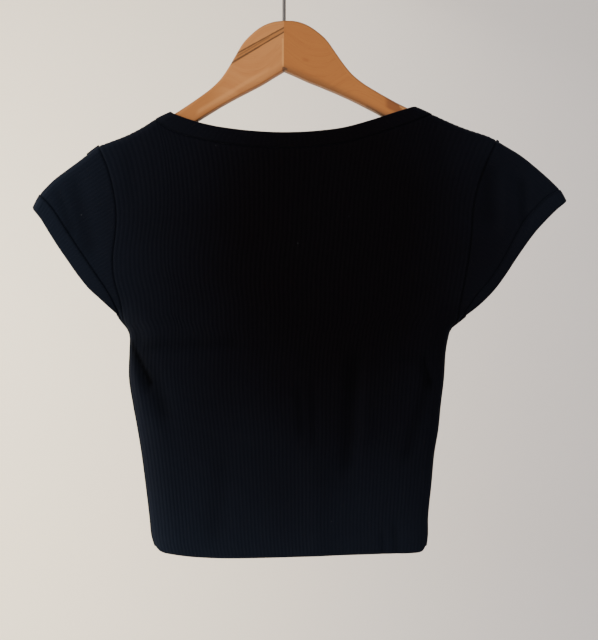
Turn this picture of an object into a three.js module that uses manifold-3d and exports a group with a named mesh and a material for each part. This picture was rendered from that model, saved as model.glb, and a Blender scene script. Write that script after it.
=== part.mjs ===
// A black rib-knit crop top with cap sleeves, hung flat on a two-piece wooden hanger.
// Millimetres, +X to the right as seen from the front, +Z up, the front faces -Y.
// The origin is the point inside the hook's crest that a rail carries.
// "drop" is always a depth below the crown of the wood.
import * as THREE from "three";
import Module from "manifold-3d";
import { mergeVertices } from "three/addons/utils/BufferGeometryUtils.js";

// Cloth
const clothWall = 1.3; // rib knit, measured in the valleys between ribs
const ribHeight = 0.35;
const panelRibs = 78; // across each panel, 3.9 mm apart under the arms
const sleeveRibs = 44; // across each face of a sleeve
const bandProud = 0.7; // the doubled neck and cuff bands stand out this far
const seamGap = 0.3;
const easedGap = 0.5; // at the curved seams, where neighbours have their points in different places
const armpitEase = 1.3; // a sleeve or cuff stands back this much more where its seam ends at the armpit
const easeShare = 0.14; // share of the seam over which it does
const neckSetback = 0.2; // the neckband stands back this much more
const neckEndEase = 0.5; // and this much again where its seam ends on the shoulders
const neckEndShare = 0.06; // share of its seam over which it does
const foldFade = 20; // folds fade out this near to the line over the arms
const onLine = 0.06; // a point this near to an outline counts as on it
const sideRound = 26; // width over which a panel turns in to its side seam
const overArm = 7.9; // radius of the cloth's outside where it lies over the wood

// Hanger
const woodTilt = THREE.MathUtils.degToRad(2.3); // the right arm hangs a little higher
const lowerRound = 4;
const wire = 3.4;
const hookInside = 17.5; // radius inside the crest
const hookRise = 67; // crown of the wood to the inside of the crest
const hookTip = 205; // degrees, where the wire ends
const hookNeck = -58; // degrees, where the circle turns back to the stem
const neckBend = 10; // radius of that turn
const stemSeat = 16; // length of wire held in the wood

// One arm of the wood: distance out from the middle, its top and bottom, and half its thickness
const armSections = [
  { out: 0, top: 0, bottom: 49, half: 6 },
  { out: 11, top: 0.9, bottom: 53.6, half: 6 },
  { out: 22, top: 4.8, bottom: 58.6, half: 6 },
  { out: 32, top: 11.6, bottom: 63.2, half: 6 },
  { out: 41, top: 20.3, bottom: 67.4, half: 6 },
  { out: 48.5, top: 31.6, bottom: 70.9, half: 6 },
  { out: 55.5, top: 42.4, bottom: 74.4, half: 6 },
  { out: 63, top: 52, bottom: 78.2, half: 6 },
  { out: 72, top: 60.5, bottom: 83.2, half: 6 },
  { out: 84, top: 69, bottom: 90, half: 6 },
  { out: 99, top: 78, bottom: 98.6, half: 6 },
  { out: 120, top: 89.7, bottom: 108.6, half: 6 },
  { out: 145, top: 103.4, bottom: 120.6, half: 6 },
  { out: 168, top: 113.4, bottom: 130, half: 6 },
  { out: 190, top: 122.4, bottom: 138.6, half: 6 },
  { out: 206, top: 132.4, bottom: 147.4, half: 6 },
  { out: 216, top: 140.8, bottom: 153.4, half: 5.4 },
  { out: 221, top: 146.4, bottom: 155, half: 3.6 },
];

// The closed outline over the arms, from the neckband's seam to the armhole
const shoulderLeft = [
  { x: -125.1, drop: 93.8 },
  { x: -132, drop: 98.4 },
  { x: -141.6, drop: 104.2 },
  { x: -154.2, drop: 110.4 },
  { x: -169.8, drop: 116.4 },
  { x: -180.4, drop: 120.2 },
];
const shoulderRight = [
  { x: 144, drop: 89.2 },
  { x: 150.4, drop: 93 },
  { x: 163.9, drop: 99.2 },
  { x: 178.5, drop: 105 },
  { x: 196.9, drop: 111.2 },
  { x: 206.6, drop: 115.9 },
];

// The closed top of each sleeve, from the armhole to the cuff
const sleeveTopLeft = [
  { x: -180.4, drop: 120.2 },
  { x: -188.2, drop: 126 },
  { x: -199.8, drop: 135 },
  { x: -211.5, drop: 143.6 },
  { x: -223.1, drop: 152.4 },
  { x: -231, drop: 160 },
  { x: -237.7, drop: 167.3 },
];
const sleeveTopRight = [
  { x: 206.6, drop: 115.9 },
  { x: 217.3, drop: 122.4 },
  { x: 227, drop: 128.4 },
  { x: 235.7, drop: 134.8 },
  { x: 248.3, drop: 145.2 },
  { x: 259, drop: 154.4 },
  { x: 268.6, drop: 163 },
];

// Side seams from the armpit down to the hem
const sideSeams = [
  { drop: 293, left: -155.6, right: 167 },
  { drop: 298, left: -151.8, right: 161.6 },
  { drop: 306, left: -149.2, right: 158.4 },
  { drop: 322, left: -149.6, right: 155.4 },
  { drop: 346, left: -150, right: 153.9 },
  { drop: 372, left: -146, right: 150.8 },
  { drop: 396, left: -141.6, right: 148.4 },
  { drop: 420, left: -137.7, right: 144.2 },
  { drop: 449, left: -133.9, right: 141.6 },
  { drop: 480, left: -130.2, right: 138.2 },
  { drop: 498, left: -128.6, right: 138.4 },
  { drop: 509, left: -124.4, right: 136.6 },
];

// The hem from the left corner to the right one
const hemLine = [
  { x: -124.4, drop: 509 },
  { x: -116, drop: 513.8 },
  { x: -104, drop: 516.4 },
  { x: -83, drop: 518.6 },
  { x: -52, drop: 519.6 },
  { x: 0, drop: 518.6 },
  { x: 48, drop: 516.8 },
  { x: 96, drop: 515.2 },
  { x: 124, drop: 513.6 },
  { x: 136.6, drop: 509 },
];

// Each armhole seam by its share of the way down from the shoulder to the armpit
const armholes = [
  { share: 0, left: -180.4, right: 206.6 },
  { share: 0.12, left: -171.3, right: 197 },
  { share: 0.25, left: -165.3, right: 188.4 },
  { share: 0.38, left: -162.2, right: 183.4 },
  { share: 0.5, left: -163, right: 182 },
  { share: 0.62, left: -165.4, right: 179.6 },
  { share: 0.75, left: -164, right: 175.6 },
  { share: 0.87, left: -158.4, right: 171.6 },
  { share: 1, left: -155.6, right: 167 },
];

// Each cuff from the top fold to the armpit: its seam and its free edge
const cuffLeft = [
  { seamX: -237.7, seamDrop: 167.3, edgeX: -244.4, edgeDrop: 180 },
  { seamX: -226, seamDrop: 179.2, edgeX: -235.4, edgeDrop: 190.8 },
  { seamX: -215.8, seamDrop: 194.2, edgeX: -227, edgeDrop: 204.2 },
  { seamX: -206.6, seamDrop: 208.4, edgeX: -218.3, edgeDrop: 217.8 },
  { seamX: -197.9, seamDrop: 221.6, edgeX: -208.6, edgeDrop: 231.8 },
  { seamX: -188.7, seamDrop: 235.2, edgeX: -198.9, edgeDrop: 245.6 },
  { seamX: -179, seamDrop: 249.4, edgeX: -188.2, edgeDrop: 258.8 },
  { seamX: -171.6, seamDrop: 260.4, edgeX: -177.4, edgeDrop: 268.8 },
  { seamX: -165.4, seamDrop: 272, edgeX: -169, edgeDrop: 277 },
  { seamX: -159.2, seamDrop: 288.6, edgeX: -161.8, edgeDrop: 284.6 },
];
const cuffRight = [
  { seamX: 268.6, seamDrop: 163, edgeX: 274.5, edgeDrop: 173.6 },
  { seamX: 255.4, seamDrop: 170.2, edgeX: 264, edgeDrop: 182 },
  { seamX: 243.5, seamDrop: 181.6, edgeX: 253.2, edgeDrop: 192.6 },
  { seamX: 232.2, seamDrop: 194.8, edgeX: 242.5, edgeDrop: 204.4 },
  { seamX: 223.6, seamDrop: 209.6, edgeX: 232.8, edgeDrop: 217.4 },
  { seamX: 215.4, seamDrop: 225.6, edgeX: 223.1, edgeDrop: 231.4 },
  { seamX: 206.6, seamDrop: 240.6, edgeX: 213.4, edgeDrop: 246.2 },
  { seamX: 196.8, seamDrop: 254.4, edgeX: 202.8, edgeDrop: 260.4 },
  { seamX: 184.6, seamDrop: 268.6, edgeX: 190.2, edgeDrop: 273.4 },
  { seamX: 171.8, seamDrop: 289.4, edgeX: 176.4, edgeDrop: 285.6 },
];

// The neck from the left shoulder to the right one: free edge, then the band's seam
const neckEdge = [
  { x: -110.6, drop: 86.8 },
  { x: -106.4, drop: 90.2 },
  { x: -95.1, drop: 94.6 },
  { x: -83.4, drop: 98.2 },
  { x: -71.8, drop: 101 },
  { x: -60.1, drop: 103.2 },
  { x: -36.9, drop: 106.2 },
  { x: -10, drop: 108 },
  { x: 14, drop: 107.9 },
  { x: 36, drop: 106.4 },
  { x: 58, drop: 103.4 },
  { x: 80, drop: 97.6 },
  { x: 102, drop: 90.6 },
  { x: 120, drop: 84.8 },
  { x: 128, drop: 82 },
];
const neckSeam = [
  { x: -125.1, drop: 93.8 },
  { x: -118.6, drop: 100 },
  { x: -109.6, drop: 105.4 },
  { x: -98, drop: 109.8 },
  { x: -83, drop: 113.6 },
  { x: -60, drop: 118 },
  { x: -36, drop: 120.8 },
  { x: -8, drop: 122.3 },
  { x: 16, drop: 122 },
  { x: 40, drop: 120.2 },
  { x: 64, drop: 116.2 },
  { x: 86, drop: 110.2 },
  { x: 108, drop: 103 },
  { x: 128, drop: 96 },
  { x: 144, drop: 89.2 },
];

// Half the distance between the outsides of front and back
const flatDepth = [
  { drop: 70, half: 7.9 },
  { drop: 155, half: 8.1 },
  { drop: 240, half: 10.2 },
  { drop: 320, half: 10.8 },
  { drop: 420, half: 9.6 },
  { drop: 520, half: 8.8 },
];

// Soft folds: a line from start to end, its width and how far it lifts (a trough is negative)
const frontFolds = [
  { x: -142, drop: 308, toX: -118, toDrop: 372, width: 10, lift: -1.9 },
  { x: -126, drop: 314, toX: -52, toDrop: 312, width: 9, lift: -1.2 },
  { x: 70, drop: 336, toX: 64, toDrop: 420, width: 10, lift: -1.6 },
  { x: 136, drop: 330, toX: 134, toDrop: 412, width: 8, lift: -1.5 },
  { x: 30, drop: 440, toX: 33, toDrop: 506, width: 13, lift: 1.2 },
  { x: 199, drop: 140, toX: 200, toDrop: 184, width: 9, lift: -1.4 },
  { x: -202, drop: 160, toX: -188, toDrop: 214, width: 9, lift: -1.1 },
];
const backFolds = [
  { x: -140, drop: 312, toX: -112, toDrop: 380, width: 10, lift: -1.7 },
  { x: 144, drop: 308, toX: 112, toDrop: 366, width: 10, lift: -1.8 },
  { x: -48, drop: 350, toX: -40, toDrop: 436, width: 12, lift: -1.4 },
  { x: 22, drop: 390, toX: 18, toDrop: 480, width: 12, lift: 1.2 },
  { x: 206, drop: 150, toX: 196, toDrop: 200, width: 9, lift: -1.2 },
  { x: -196, drop: 158, toX: -186, toDrop: 206, width: 9, lift: -1.2 },
];

const front = -1;
const back = 1;

const wasm = await Module();
wasm.setup();

function level(drop) {
  return -(hookRise + drop);
}

function mix(a, b, share) {
  return a + (b - a) * share;
}

// Straight-line reading of one column of a table against another.
function readTable(rows, key, value, at) {
  const next = rows.findIndex((row) => row[key] >= at);
  if (next === 0) return rows[0][value];
  if (next < 0) return rows[rows.length - 1][value];
  const low = rows[next - 1];
  const high = rows[next];
  return mix(low[value], high[value], (at - low[key]) / (high[key] - low[key]));
}

// A smooth line through two columns of a table, read by its share of the length.
function smoothLine(rows, xKey, dropKey) {
  const points = rows.map((row) => new THREE.Vector2(row[xKey], row[dropKey]));
  const curve = new THREE.SplineCurve(points);
  return (share) => curve.getPointAt(THREE.MathUtils.clamp(share, 0, 1));
}

// A chain of straight lines through points, read by given shares.
function brokenLine(shares, points) {
  return (share) => {
    const next = Math.max(1, shares.findIndex((value) => value >= share - 1e-9));
    const along = (share - shares[next - 1]) / (shares[next] - shares[next - 1]);
    return points[next - 1].clone().lerp(points[next], along);
  };
}

// Rows up a panel: shares of the side seam, then of the armhole, closest where it turns over the arm.
const armpitShare = 0.565;
const armholeLength = 174;
const turnShares = [90, 60, 30, 0].map((angle) => {
  const below = overArm * (1 - Math.cos(THREE.MathUtils.degToRad(angle)));
  return 1 - below / armholeLength;
});
const sideShares = [0, 0.25, 0.52, 0.78];
const armShares = [0, 0.06, 0.2, 0.38, 0.57, 0.78, ...turnShares];
const panelRows = [
  ...sideShares.map((share) => share * armpitShare),
  ...armShares.map((share) => mix(armpitShare, 1, share)),
];

// Everything that differs between the wearer's sides as seen: outline curves of the left and right.
function makeSide(key, shoulder, sleeveTop, cuff, outward) {
  const armSpline = smoothLine(
    armholes.map((row) => ({
      x: row[key],
      drop: mix(shoulder[shoulder.length - 1].drop, sideSeams[0].drop, row.share),
    })),
    "x",
    "drop",
  );
  const armPoints = armShares.map((share) => armSpline(1 - share));
  const side = {
    outward,
    shoulder: smoothLine(shoulder, "x", "drop"),
    sleeveTop: smoothLine(sleeveTop, "x", "drop"),
    seam: smoothLine(sideSeams, key, "drop"),
    armhole: brokenLine(armShares, armPoints),
    cuffSeam: smoothLine(cuff, "seamX", "seamDrop"),
    cuffEdge: smoothLine(cuff, "edgeX", "edgeDrop"),
  };
  const steps = 60;
  const shares = Array.from({ length: steps + 1 }, (_, i) => i / steps);
  const tip = outward < 0 ? neckEdge[0] : neckEdge[neckEdge.length - 1];
  side.topOutline = [
    new THREE.Vector2(tip.x, tip.drop),
    ...shares.map(side.shoulder),
    ...shares.map(side.sleeveTop),
    side.cuffEdge(0),
  ];
  side.sideOutline = [side.cuffEdge(1), side.cuffSeam(1), ...shares.map(side.seam)];
  return side;
}

const left = makeSide("left", shoulderLeft, sleeveTopLeft, cuffLeft, -1);
const right = makeSide("right", shoulderRight, sleeveTopRight, cuffRight, 1);

// Distance from a point to an outline, and the direction from the outline to the point.
// On the outline itself the direction is square to the line, towards the cloth.
function nearest(outline, turn, x, drop) {
  let best = { distance: Infinity };
  for (let i = 1; i < outline.length; i++) {
    const a = outline[i - 1];
    const b = outline[i];
    const length = Math.hypot(b.x - a.x, b.y - a.y);
    if (length < 1e-6) continue;
    const dx = (b.x - a.x) / length;
    const dy = (b.y - a.y) / length;
    const along = THREE.MathUtils.clamp((x - a.x) * dx + (drop - a.y) * dy, 0, length);
    const awayX = x - a.x - dx * along;
    const awayY = drop - a.y - dy * along;
    const distance = Math.hypot(awayX, awayY);
    if (distance >= best.distance) continue;
    const on = distance < onLine;
    best = on
      ? { distance: 0, x: -dy * turn, drop: dx * turn }
      : { distance, x: awayX / distance, drop: awayY / distance };
  }
  return best;
}

// A quarter ellipse: 0 on the outline, 1 one rounding width inside it.
function roundOff(t) {
  return t >= 1 ? 1 : Math.sqrt(1 - (1 - t) ** 2);
}

function roundSlope(t) {
  const held = Math.max(t, 1e-5);
  return held >= 1 ? 0 : (1 - held) / Math.sqrt(1 - (1 - held) ** 2);
}

// Half depth of the flat-hung cloth at a point of its outline plane, and the outward direction.
function lie(x, drop) {
  const side = x < 0 ? left : right;
  const sideLine = nearest(side.sideOutline, -side.outward, x, drop);
  const topLine = nearest(side.topOutline, side.outward, x, drop);
  const base = readTable(flatDepth, "drop", "half", drop);
  const sideT = sideLine.distance / sideRound;
  const topT = topLine.distance / overArm;
  const sideSlope = (base * roundSlope(sideT) * roundOff(topT)) / sideRound;
  const topSlope = (base * roundSlope(topT) * roundOff(sideT)) / overArm;
  const slopeX = sideSlope * sideLine.x + topSlope * topLine.x;
  const slopeDrop = sideSlope * sideLine.drop + topSlope * topLine.drop;
  return {
    half: base * roundOff(sideT) * roundOff(topT),
    free: Math.min(1, sideT) * Math.min(1, topLine.distance / foldFade),
    out: new THREE.Vector3(-slopeX, 1, slopeDrop).normalize(),
  };
}

// Sum of the folds at a point: each is a bell across its line that fades at both ends.
function foldLift(folds, x, drop) {
  return folds.reduce((sum, fold) => {
    const dx = fold.toX - fold.x;
    const dy = fold.toDrop - fold.drop;
    const length = Math.hypot(dx, dy);
    const along = ((x - fold.x) * dx + (drop - fold.drop) * dy) / length;
    const across = ((x - fold.x) * dy - (drop - fold.drop) * dx) / length;
    const past = Math.max(0, -along, along - length);
    const bell = Math.exp(-((across / fold.width) ** 2) - (past / (1.6 * fold.width)) ** 2);
    return sum + fold.lift * bell;
  }, 0);
}

// A point of the cloth's face, moved out along the surface by "proud".
function clothPoint(point, face, halfGap, proud) {
  const at = lie(point.x, point.y);
  const folds = face === front ? frontFolds : backFolds;
  const lift = foldLift(folds, point.x, point.y) * at.free;
  return new THREE.Vector3(
    point.x + at.out.x * proud,
    face * (halfGap + at.half + lift + at.out.y * proud),
    level(point.y) + at.out.z * proud,
  );
}

// A wall between an outer grid and a coarser inner grid whose columns are some of the outer ones.
// "closed" joins the last column to the first.
function wallGeometry(columns, rows, innerColumns, closed, outer, inner) {
  const positions = [];
  const faces = [];
  const add = (point) => positions.push(point.x, point.y, point.z) / 3 - 1;
  const across = closed ? columns : columns + 1;
  const outerAt = [];
  const innerAt = [];
  for (let j = 0; j <= rows; j++) {
    outerAt.push(Array.from({ length: across }, (_, i) => add(outer(i, j))));
    innerAt.push(innerColumns.map((i) => add(inner(i, j))));
  }
  const wrap = closed ? columns : columns + 1;
  const quad = (a, b, c, d) => faces.push(a, b, c, a, c, d);
  for (let j = 0; j < rows; j++)
    for (let i = 0; i < columns; i++) {
      const k = (i + 1) % wrap;
      quad(outerAt[j][i], outerAt[j][k], outerAt[j + 1][k], outerAt[j + 1][i]);
    }
  const spans = closed ? innerColumns.length : innerColumns.length - 1;
  for (let m = 0; m < spans; m++) {
    const n = (m + 1) % innerColumns.length;
    for (let j = 0; j < rows; j++)
      quad(innerAt[j][n], innerAt[j][m], innerAt[j + 1][m], innerAt[j + 1][n]);
    const from = innerColumns[m];
    const to = n === 0 ? columns : innerColumns[n];
    for (let i = from; i < to; i++) {
      const k = (i + 1) % wrap;
      faces.push(innerAt[0][m], outerAt[0][k], outerAt[0][i]);
      faces.push(innerAt[rows][m], outerAt[rows][i], outerAt[rows][k]);
    }
    faces.push(innerAt[0][m], innerAt[0][n], outerAt[0][to % wrap]);
    faces.push(innerAt[rows][m], outerAt[rows][to % wrap], innerAt[rows][n]);
  }
  if (!closed) {
    const last = innerColumns.length - 1;
    for (let j = 0; j < rows; j++) {
      quad(innerAt[j][0], outerAt[j][0], outerAt[j + 1][0], innerAt[j + 1][0]);
      quad(outerAt[j][columns], innerAt[j][last], innerAt[j + 1][last], outerAt[j + 1][columns]);
    }
  }
  return facingOut(positions, faces);
}

// Turns every face round if the body they close would be inside out.
function facingOut(positions, faces) {
  const corner = (i) => new THREE.Vector3().fromArray(positions, 3 * faces[i]);
  let volume = 0;
  for (let i = 0; i < faces.length; i += 3)
    volume += corner(i).dot(corner(i + 1).cross(corner(i + 2)));
  if (volume < 0)
    for (let i = 0; i < faces.length; i += 3)
      [faces[i], faces[i + 1]] = [faces[i + 1], faces[i]];
  const geometry = new THREE.BufferGeometry();
  geometry.setAttribute("position", new THREE.Float32BufferAttribute(positions, 3));
  geometry.setIndex(faces);
  return geometry;
}

// Blend of four border lines that meet at the corners (a Coons patch) in the outline plane.
function patch(bottom, top, start, end) {
  return (s, v) => {
    const sum = new THREE.Vector2();
    sum.addScaledVector(bottom(s), 1 - v);
    sum.addScaledVector(top(s), v);
    sum.addScaledVector(start(v), 1 - s);
    sum.addScaledVector(end(v), s);
    sum.addScaledVector(bottom(0), -(1 - s) * (1 - v));
    sum.addScaledVector(bottom(1), -s * (1 - v));
    sum.addScaledVector(top(0), -(1 - s) * v);
    sum.addScaledVector(top(1), -s * v);
    return sum;
  };
}

const panelColumns = 2 * panelRibs;
const neckFrom = 23; // first column under the neckband, and the last one
const neckTo = 131;
const hem = smoothLine(hemLine, "x", "drop");
const neckSeamLine = smoothLine(neckSeam, "x", "drop");
const neckEdgeLine = smoothLine(neckEdge, "x", "drop");

function neckShare(column) {
  return (column - neckFrom) / (neckTo - neckFrom);
}

// Top of a panel: left shoulder, neck seam, right shoulder.
function panelTop(s) {
  const column = s * panelColumns;
  if (column <= neckFrom) return left.shoulder(1 - column / neckFrom);
  if (column >= neckTo) return right.shoulder((column - neckTo) / (panelColumns - neckTo));
  return neckSeamLine(neckShare(column)).add(new THREE.Vector2(0, easedGap / 2));
}

// Side of a panel: side seam up to the armpit, then the armhole, held back from the sleeve.
function panelSide(side) {
  return (v) => {
    if (v <= armpitShare) return side.seam(1 - v / armpitShare);
    const point = side.armhole((v - armpitShare) / (1 - armpitShare));
    return point.add(new THREE.Vector2((-side.outward * easedGap) / 2, 0));
  };
}

const panelPlan = patch(hem, panelTop, panelSide(left), panelSide(right));

function panelGeometry(face) {
  const at = (i, j) => panelPlan(i / panelColumns, panelRows[j]);
  const inner = [0, 2];
  for (let i = 6; i < panelColumns - 2; i += 4) inner.push(i);
  inner.push(panelColumns - 2, panelColumns);
  return wallGeometry(
    panelColumns,
    panelRows.length - 1,
    inner,
    false,
    (i, j) => clothPoint(at(i, j), face, seamGap / 2, (i % 2) * ribHeight),
    (i, j) => clothPoint(at(i, j), face, seamGap / 2, -clothWall),
  );
}

// Columns of a sleeve from the armpit (0) to the top fold (1): even steps, then a quarter turn.
const sleeveColumns = 2 * sleeveRibs;
const turnColumns = 6;
const sleeveShares = Array.from({ length: sleeveColumns + 1 }, (_, i) => {
  const straight = sleeveColumns - turnColumns;
  const angle = (Math.PI / 2) * (1 - Math.max(0, i - straight) / turnColumns);
  const atTurn = 1 - (overArm * (1 - Math.cos(angle))) / armholeLength;
  return i < straight ? (atTurn * i) / straight : atTurn;
});

// Ring of columns over a sleeve or cuff: up the front, over the fold, down the back.
function ringFace(i) {
  return i <= sleeveColumns ? front : back;
}

function ringShare(i) {
  return sleeveShares[i <= sleeveColumns ? i : 2 * sleeveColumns - i];
}

// Some of those columns: close together over the fold and at the armpit, wider apart between.
const sparseColumns = [];
for (let i = 0; i < 2 * sleeveColumns; i++) {
  const fromFold = Math.abs(i - sleeveColumns);
  const fromTurn = Math.min(fromFold, sleeveColumns - fromFold);
  if (i % (fromTurn <= 8 ? 2 : 4) === 0) sparseColumns.push(i);
}

const sleeveRows = [0, 0.34, 0.68, 1];

function sleeveGeometry(side) {
  const apart = (v) => easedGap / 2 + armpitEase * Math.max(0, 1 - v / easeShare);
  const start = (v) => side.armhole(v).add(new THREE.Vector2(side.outward * apart(v), 0));
  const plan = patch(
    (s) => start(0).lerp(side.cuffSeam(1), s),
    (s) => side.sleeveTop(s).add(new THREE.Vector2(side.outward * apart(1) * (1 - s), 0)),
    start,
    (v) => side.cuffSeam(1 - v),
  );
  const at = (i, j) => plan(sleeveRows[j], ringShare(i));
  return wallGeometry(
    2 * sleeveColumns,
    sleeveRows.length - 1,
    sparseColumns,
    true,
    (i, j) => clothPoint(at(i, j), ringFace(i), 0, (i % 2) * ribHeight),
    (i, j) => clothPoint(at(i, j), ringFace(i), 0, -clothWall),
  );
}

// A doubled band between a seam line and a free edge, one span wide.
function bandGeometry(count, seamAt, edgeAt, faceAt) {
  const at = (i, j) => (j === 0 ? seamAt(i) : edgeAt(i));
  const all = Array.from({ length: count }, (_, i) => i);
  return wallGeometry(
    count,
    1,
    all,
    true,
    (i, j) => clothPoint(at(i, j), faceAt(i), 0, bandProud),
    (i, j) => clothPoint(at(i, j), faceAt(i), 0, -clothWall),
  );
}

function cuffGeometry(side) {
  const share = (i) => 1 - ringShare(sparseColumns[i]);
  const seamAt = (i) => {
    const seam = side.cuffSeam(share(i));
    const edge = side.cuffEdge(share(i));
    const apart = easedGap + armpitEase * Math.max(0, 1 - (1 - share(i)) / easeShare);
    return seam.add(edge.sub(seam).setLength(apart));
  };
  return bandGeometry(
    sparseColumns.length,
    seamAt,
    (i) => side.cuffEdge(share(i)),
    (i) => ringFace(sparseColumns[i]),
  );
}

// The neckband uses a panel's neck columns, all of them near the shoulders and every third between.
const neckColumns = [];
for (let i = neckFrom; i <= neckTo; i++) {
  const fromEnd = Math.min(i - neckFrom, neckTo - i);
  if (fromEnd < 6 || fromEnd % 3 === 0) neckColumns.push(i);
}

function neckbandGeometry() {
  const turns = neckColumns.length - 1;
  const share = (i) => neckShare(neckColumns[i <= turns ? i : 2 * turns - i]);
  const apart = (v) =>
    easedGap / 2 + neckSetback + neckEndEase * Math.max(0, 1 - Math.min(v, 1 - v) / neckEndShare);
  const seam = (i) => neckSeamLine(share(i)).add(new THREE.Vector2(0, -apart(share(i))));
  return bandGeometry(
    2 * turns,
    seam,
    (i) => neckEdgeLine(share(i)),
    (i) => (i <= turns ? front : back),
  );
}

// Outline of the wood across an arm: a half round over the top and two rounded lower corners.
function armRing({ top, bottom, half }) {
  const ring = [];
  const topRound = Math.min(half, (bottom - top) / 2);
  const low = Math.min(lowerRound, half, (bottom - top) / 2);
  for (let k = 0; k <= 6; k++) {
    const angle = Math.PI * (1 - k / 6);
    ring.push({ y: half * Math.cos(angle), drop: top + topRound * (1 - Math.sin(angle)) });
  }
  for (const [sign, order] of [[1, [0, 1, 2]], [-1, [2, 1, 0]]])
    for (const k of order) {
      const angle = (Math.PI / 4) * k;
      ring.push({
        y: sign * (half - low + low * Math.cos(angle)),
        drop: bottom - low + low * Math.sin(angle),
      });
    }
  return ring;
}

// One half of the wood, turned about the crown by the tilt.
function armGeometry(outward) {
  const rings = armSections.map(armRing);
  const around = rings[0].length;
  const positions = [];
  const faces = [];
  rings.forEach((ring, j) =>
    ring.forEach(({ y, drop }) => {
      const x = outward * (armSections[j].out + seamGap / 2);
      positions.push(
        x * Math.cos(woodTilt) + drop * Math.sin(woodTilt),
        y,
        x * Math.sin(woodTilt) - drop * Math.cos(woodTilt) - hookRise,
      );
    }),
  );
  const last = (rings.length - 1) * around;
  for (let i = 0; i < around; i++) {
    const k = (i + 1) % around;
    for (let j = 0; j < last; j += around)
      faces.push(j + i, j + k, j + around + k, j + i, j + around + k, j + around + i);
    if (i > 0 && i < around - 1) {
      faces.push(0, i + 1, i);
      faces.push(last, last + i, last + i + 1);
    }
  }
  return cut(facingOut(positions, faces), stemHole());
}

function stemHole() {
  const deep = stemSeat + seamGap;
  const above = 6;
  const hole = new THREE.CylinderGeometry(wire / 2 + seamGap, wire / 2 + seamGap, deep + above, 12);
  hole.rotateX(Math.PI / 2);
  hole.translate(0, 0, -hookRise - deep + (deep + above) / 2);
  return hole;
}

function solidOf(geometry) {
  const bare = geometry.clone();
  bare.deleteAttribute("normal");
  bare.deleteAttribute("uv");
  const merged = mergeVertices(bare, 1e-4);
  return new wasm.Manifold(
    new wasm.Mesh({
      numProp: 3,
      vertProperties: merged.attributes.position.array,
      triVerts: new Uint32Array(merged.index.array),
    }),
  );
}

function cut(geometry, tool) {
  const mesh = solidOf(geometry).subtract(solidOf(tool)).getMesh();
  const result = new THREE.BufferGeometry();
  result.setAttribute("position", new THREE.BufferAttribute(mesh.vertProperties, 3));
  result.setIndex(new THREE.BufferAttribute(mesh.triVerts, 1));
  return result;
}

// The hook: stem, turn, most of a circle over the rail, all in the plane of the hanger.
function hookGeometry() {
  const radius = hookInside + wire / 2;
  const neck = THREE.MathUtils.degToRad(hookNeck);
  const turn = -neck; // how far the wire leans from upright where it meets the circle
  const startX = radius * Math.cos(neck);
  const startZ = -hookInside + radius * Math.sin(neck);
  const bendX = neckBend * (1 - Math.cos(turn));
  const bendZ = startZ - (startX - bendX) / Math.tan(turn);
  const bendBottom = bendZ - neckBend * Math.sin(turn);
  const foot = -hookRise - stemSeat;
  const points = [new THREE.Vector3(0, 0, foot), new THREE.Vector3(0, 0, (foot + bendBottom) / 2)];
  const bendSteps = 4;
  for (let k = 0; k <= bendSteps; k++) {
    const angle = (turn * k) / bendSteps;
    const x = neckBend * (1 - Math.cos(angle));
    points.push(new THREE.Vector3(x, 0, bendBottom + neckBend * Math.sin(angle)));
  }
  points.push(new THREE.Vector3((bendX + startX) / 2, 0, (bendZ + startZ) / 2));
  const sweep = THREE.MathUtils.degToRad(hookTip) - neck;
  const circleSteps = 22;
  for (let k = 0; k <= circleSteps; k++) {
    const angle = neck + (sweep * k) / circleSteps;
    const z = -hookInside + radius * Math.sin(angle);
    points.push(new THREE.Vector3(radius * Math.cos(angle), 0, z));
  }
  const section = new THREE.Shape();
  const corners = 8;
  for (let k = 0; k < corners; k++) {
    const angle = (2 * Math.PI * k) / corners;
    const x = (wire / 2) * Math.cos(angle);
    const y = (wire / 2) * Math.sin(angle);
    if (k === 0) section.moveTo(x, y);
    else section.lineTo(x, y);
  }
  const smooth = new THREE.CatmullRomCurve3(points, false, "centripetal");
  return new THREE.ExtrudeGeometry(section, {
    steps: 38,
    bevelEnabled: false,
    extrudePath: smooth,
  });
}

function material(color, roughness, metalness) {
  return new THREE.MeshStandardMaterial({ color, roughness, metalness });
}

const rib = material(0x0b0c10, 0.88, 0);
const band = material(0x0d0e13, 0.86, 0);
const woodLight = material(0xb5835d, 0.5, 0);
const woodDark = material(0xa96e40, 0.5, 0);
const steel = material(0x9a9a9c, 0.3, 1);

const cropTop = new THREE.Group();

function piece(name, geometry, finish) {
  const mesh = new THREE.Mesh(geometry, finish);
  mesh.name = name;
  cropTop.add(mesh);
}

piece("front_panel", panelGeometry(front), rib);
piece("back_panel", panelGeometry(back), rib);
piece("sleeve_left", sleeveGeometry(left), rib);
piece("sleeve_right", sleeveGeometry(right), rib);
piece("cuff_left", cuffGeometry(left), band);
piece("cuff_right", cuffGeometry(right), band);
piece("neckband", neckbandGeometry(), band);
piece("hanger_left", armGeometry(-1), woodLight);
piece("hanger_right", armGeometry(1), woodDark);
piece("hanger_hook", hookGeometry(), steel);

export default cropTop;
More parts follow.
